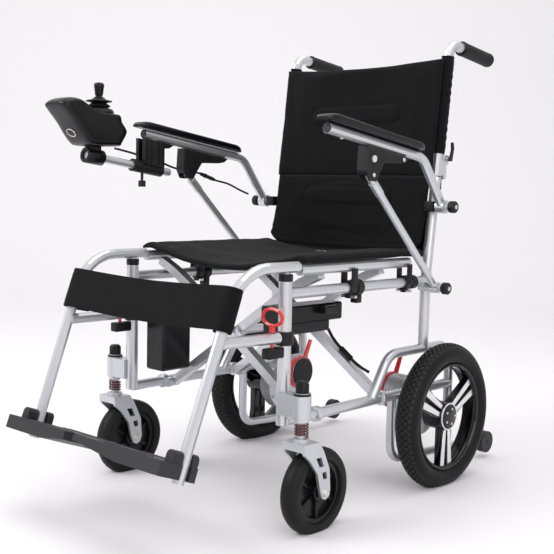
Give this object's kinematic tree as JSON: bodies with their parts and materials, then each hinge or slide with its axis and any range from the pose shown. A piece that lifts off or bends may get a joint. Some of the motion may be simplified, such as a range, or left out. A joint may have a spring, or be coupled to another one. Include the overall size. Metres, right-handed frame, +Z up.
{
  "type": "power wheelchair",
  "caption": "Folding power wheelchair with motor-driven rear wheels, sprung swivel casters, X brace, flip-up armrests, swing-away legrests and an armrest joystick.",
  "frame": {"origin": "on the floor under the middle of the overall width and length", "axes": "+Z up, chair faces -Y, sitter's left is +X"},
  "size_m": [0.591, 1.0207, 0.9527],
  "materials": {
    "silver_paint": "silver paint, satin",
    "black_plastic": "black moulded plastic",
    "black_satin": "black, satin",
    "black_fabric": "black woven cloth",
    "tyre_rubber": "black rubber",
    "rim_black": "gloss black with machined faces",
    "grip_rubber": "black soft rubber",
    "grey_plastic": "dark grey moulded plastic",
    "red_plastic": "red moulded plastic",
    "spring_red": "dark red",
    "white_plastic": "off-white",
    "cable_rubber": "black cable jacket"
  },
  "bodies": {
    "left_frame": {"left_side_frame": "silver_paint", "left_caster_housing": "silver_paint", "left_motor": "silver_paint", "controller_box": "black_satin", "back_lower": "black_fabric"},
    "scissor_a": {"scissor_leg_a": "silver_paint", "motor_cable": "cable_rubber"},
    "scissor_b": {"scissor_leg_b": "silver_paint"},
    "right_frame": {"right_side_frame": "silver_paint", "right_caster_housing": "silver_paint", "right_motor": "silver_paint", "battery_box": "black_satin"},
    "seat": {"seat_sling": "black_fabric"},
    "left_back": {"left_back_cane": "silver_paint", "left_push_handle": "grip_rubber", "back_upper": "black_fabric"},
    "left_back_release": {"left_back_release_lever": "black_plastic"},
    "left_armrest": {"left_armrest_tube": "silver_paint", "left_armrest_pad": "black_satin", "left_armrest_latch": "black_plastic"},
    "left_strut": {"left_arm_strut": "silver_paint"},
    "left_latch": {"left_latch_button": "white_plastic"},
    "left_legrest": {"left_legrest": "silver_paint", "left_calf_strap": "black_fabric"},
    "left_release": {"left_release_ring": "red_plastic"},
    "left_footplate": {"left_footplate": "grey_plastic"},
    "left_suspension": {"left_caster_spring": "spring_red"},
    "left_caster": {"left_caster_fork": "silver_paint"},
    "left_caster_wheel": {"left_caster_wheel": "tyre_rubber"},
    "left_drive_wheel": {"left_drive_tyre": "tyre_rubber", "left_drive_rim": "rim_black"},
    "left_brake_lever": {"left_brake_lever": "red_plastic"},
    "left_anti_tip": {"left_anti_tip_wheel": "black_plastic"},
    "right_back": {"right_back_cane": "silver_paint", "right_push_handle": "grip_rubber"},
    "right_back_release": {"right_back_release_lever": "black_plastic"},
    "right_armrest": {"right_armrest_tube": "silver_paint", "right_armrest_pad": "black_satin", "right_armrest_latch": "black_plastic", "mount_clamp": "black_plastic", "joystick_cable": "cable_rubber"},
    "right_strut": {"right_arm_strut": "silver_paint"},
    "right_latch": {"right_latch_button": "white_plastic"},
    "right_legrest": {"right_legrest": "silver_paint", "right_calf_strap": "black_fabric"},
    "right_release": {"right_release_ring": "red_plastic"},
    "right_footplate": {"right_footplate": "grey_plastic"},
    "right_suspension": {"right_caster_spring": "spring_red"},
    "right_caster": {"right_caster_fork": "silver_paint"},
    "right_caster_wheel": {"right_caster_wheel": "tyre_rubber"},
    "right_drive_wheel": {"right_drive_tyre": "tyre_rubber", "right_drive_rim": "rim_black"},
    "right_brake_lever": {"right_brake_lever": "red_plastic"},
    "right_anti_tip": {"right_anti_tip_wheel": "black_plastic"},
    "controller": {"joystick_case": "black_satin", "mount_tube": "silver_paint"},
    "power_key": {"power_button": "white_plastic"},
    "stick_gimbal": {"joystick_boot": "grip_rubber"},
    "stick": {"joystick_knob": "black_satin"},
    "clamp_screw": {"thumb_screw": "black_plastic"}
  },
  "joints": [
    {"name": "fold", "type": "hinge", "parent": "left_frame", "child": "scissor_a", "pos_m": [0.194, 0.04035, 0.205], "axis": [0, 1, 0], "range_deg": [0, 30], "deforming": ["seat_sling", "back_lower", "back_upper", "left_calf_strap", "right_calf_strap"]},
    {"name": "brace_pivot", "type": "hinge", "parent": "scissor_a", "child": "scissor_b", "pos_m": [0, 0.04035, 0.3385], "axis": [0, 1, 0], "range_deg": [-60, 0]},
    {"name": "right_frame_pivot", "type": "hinge", "parent": "scissor_b", "child": "right_frame", "pos_m": [-0.194, 0.04035, 0.205], "axis": [0, 1, 0], "range_deg": [0, 30]},
    {"name": "seat_rail_pivot", "type": "hinge", "parent": "scissor_a", "child": "seat", "pos_m": [-0.215, 0.04035, 0.48], "axis": [0, 1, 0], "range_deg": [-30, 0]},
    {"name": "left_back_fold", "type": "hinge", "parent": "left_frame", "child": "left_back", "pos_m": [0.215, 0.28335, 0.6595], "axis": [-1, 0, 0], "range_deg": [0, 95]},
    {"name": "left_back_release_hinge", "type": "hinge", "parent": "left_back", "child": "left_back_release", "pos_m": [0.226, 0.29635, 0.7], "axis": [-1, 0, 0], "range_deg": [-20, 0], "stiffness_Nm_per_rad": 0.1, "springref_deg": 5.73},
    {"name": "left_armrest_lift", "type": "hinge", "parent": "left_frame", "child": "left_armrest", "pos_m": [0.254, 0.23035, 0.5965], "axis": [-1, 0, 0], "range_deg": [0, 90]},
    {"name": "left_strut_pivot", "type": "hinge", "parent": "left_frame", "child": "left_strut", "pos_m": [0.254, 0.21535, 0.428], "axis": [-1, 0, 0], "range_deg": [0, 38]},
    {"name": "left_latch_press", "type": "slide", "parent": "left_armrest", "child": "left_latch", "axis": [-1, 0, 0], "range_m": [0, 0.001], "stiffness_N_per_m": 500, "springref_m": -0.001},
    {"name": "left_legrest_swing", "type": "hinge", "parent": "left_frame", "child": "left_legrest", "pos_m": [0.215, -0.20965, 0.36], "axis": [0, 0, 1], "range_deg": [0, 90]},
    {"name": "left_release_pull", "type": "slide", "parent": "left_legrest", "child": "left_release", "axis": [0, 0, 1], "range_m": [0, 0.008], "stiffness_N_per_m": 800, "springref_m": -0.004},
    {"name": "left_footplate_flip", "type": "hinge", "parent": "left_legrest", "child": "left_footplate", "pos_m": [0.207, -0.44142, 0.17975], "axis": [0, 0.9367, -0.3502], "range_deg": [0, 90]},
    {"name": "left_suspension_travel", "type": "slide", "parent": "left_frame", "child": "left_suspension", "axis": [0, 0, 1], "range_m": [0, 0.008], "stiffness_N_per_m": 20000, "springref_m": -0.012, "deforming": ["left_caster_spring"]},
    {"name": "left_caster_swivel", "type": "hinge", "parent": "left_suspension", "child": "left_caster", "pos_m": [0.265, -0.21465, 0.2], "axis": [0, 0, 1], "continuous": true},
    {"name": "left_caster_roll", "type": "hinge", "parent": "left_caster", "child": "left_caster_wheel", "pos_m": [0.265, -0.17465, 0.081], "axis": [1, 0, 0], "continuous": true},
    {"name": "left_drive_spin", "type": "hinge", "parent": "left_frame", "child": "left_drive_wheel", "pos_m": [0.269, 0.23935, 0.155], "axis": [1, 0, 0], "continuous": true},
    {"name": "left_brake_release", "type": "hinge", "parent": "left_frame", "child": "left_brake_lever", "pos_m": [0.133, 0.23935, 0.19], "axis": [-1, 0, 0], "range_deg": [0, 45]},
    {"name": "left_anti_tip_roll", "type": "hinge", "parent": "left_frame", "child": "left_anti_tip", "pos_m": [0.229, 0.48535, 0.047], "axis": [1, 0, 0], "continuous": true},
    {"name": "right_back_fold", "type": "hinge", "parent": "right_frame", "child": "right_back", "pos_m": [-0.215, 0.28335, 0.6595], "axis": [-1, 0, 0], "range_deg": [0, 95]},
    {"name": "right_back_release_hinge", "type": "hinge", "parent": "right_back", "child": "right_back_release", "pos_m": [-0.226, 0.29635, 0.7], "axis": [-1, 0, 0], "range_deg": [-20, 0], "stiffness_Nm_per_rad": 0.1, "springref_deg": 5.73},
    {"name": "right_armrest_lift", "type": "hinge", "parent": "right_frame", "child": "right_armrest", "pos_m": [-0.254, 0.23035, 0.5965], "axis": [-1, 0, 0], "range_deg": [0, 90]},
    {"name": "right_strut_pivot", "type": "hinge", "parent": "right_frame", "child": "right_strut", "pos_m": [-0.254, 0.21535, 0.428], "axis": [-1, 0, 0], "range_deg": [0, 38]},
    {"name": "right_latch_press", "type": "slide", "parent": "right_armrest", "child": "right_latch", "axis": [1, 0, 0], "range_m": [0, 0.001], "stiffness_N_per_m": 500, "springref_m": -0.001},
    {"name": "right_legrest_swing", "type": "hinge", "parent": "right_frame", "child": "right_legrest", "pos_m": [-0.215, -0.20965, 0.36], "axis": [0, 0, -1], "range_deg": [0, 90]},
    {"name": "right_release_pull", "type": "slide", "parent": "right_legrest", "child": "right_release", "axis": [0, 0, 1], "range_m": [0, 0.008], "stiffness_N_per_m": 800, "springref_m": -0.004},
    {"name": "right_footplate_flip", "type": "hinge", "parent": "right_legrest", "child": "right_footplate", "pos_m": [-0.207, -0.44142, 0.17975], "axis": [0, -0.9367, 0.3502], "range_deg": [0, 90]},
    {"name": "right_suspension_travel", "type": "slide", "parent": "right_frame", "child": "right_suspension", "axis": [0, 0, 1], "range_m": [0, 0.008], "stiffness_N_per_m": 20000, "springref_m": -0.012, "deforming": ["right_caster_spring"]},
    {"name": "right_caster_swivel", "type": "hinge", "parent": "right_suspension", "child": "right_caster", "pos_m": [-0.265, -0.21465, 0.2], "axis": [0, 0, 1], "continuous": true},
    {"name": "right_caster_roll", "type": "hinge", "parent": "right_caster", "child": "right_caster_wheel", "pos_m": [-0.265, -0.17465, 0.081], "axis": [1, 0, 0], "continuous": true},
    {"name": "right_drive_spin", "type": "hinge", "parent": "right_frame", "child": "right_drive_wheel", "pos_m": [-0.269, 0.23935, 0.155], "axis": [1, 0, 0], "continuous": true},
    {"name": "right_brake_release", "type": "hinge", "parent": "right_frame", "child": "right_brake_lever", "pos_m": [-0.133, 0.23935, 0.19], "axis": [-1, 0, 0], "range_deg": [0, 45]},
    {"name": "right_anti_tip_roll", "type": "hinge", "parent": "right_frame", "child": "right_anti_tip", "pos_m": [-0.229, 0.48535, 0.047], "axis": [1, 0, 0], "continuous": true},
    {"name": "controller_slide", "type": "slide", "parent": "right_armrest", "child": "controller", "axis": [0, -0.9911, 0.1328], "range_m": [0, 0.04]},
    {"name": "power_press", "type": "slide", "parent": "controller", "child": "power_key", "axis": [0, -0.4559, -0.89], "range_m": [0, 0.0012], "stiffness_N_per_m": 500, "springref_m": -0.001},
    {"name": "stick_tilt_fore_aft", "type": "hinge", "parent": "controller", "child": "stick_gimbal", "pos_m": [-0.254, -0.26965, 0.765], "axis": [1, 0, 0], "range_deg": [-18, 18], "stiffness_Nm_per_rad": 0.6, "deforming": ["joystick_boot"]},
    {"name": "stick_tilt_sideways", "type": "hinge", "parent": "stick_gimbal", "child": "stick", "pos_m": [-0.254, -0.26965, 0.765], "axis": [0, 1, 0], "range_deg": [-18, 18], "stiffness_Nm_per_rad": 0.6, "deforming": ["joystick_boot"]},
    {"name": "clamp_screw_turn", "type": "hinge", "parent": "right_armrest", "child": "clamp_screw", "pos_m": [-0.254, -0.15465, 0.63], "axis": [0, 0, 1], "continuous": true}
  ],
  "couplings": [
    {"joint": "brace_pivot", "follows": "fold", "ratio": -2},
    {"joint": "right_frame_pivot", "follows": "fold", "ratio": 1},
    {"joint": "seat_rail_pivot", "follows": "fold", "ratio": -1},
    {"joint": "left_strut_pivot", "follows": "left_armrest_lift", "ratio": 0.42},
    {"joint": "left_footplate_flip", "follows": "fold", "ratio": 3},
    {"joint": "right_back_fold", "follows": "left_back_fold", "ratio": 1},
    {"joint": "right_strut_pivot", "follows": "right_armrest_lift", "ratio": 0.42},
    {"joint": "right_footplate_flip", "follows": "fold", "ratio": 3}
  ]
}
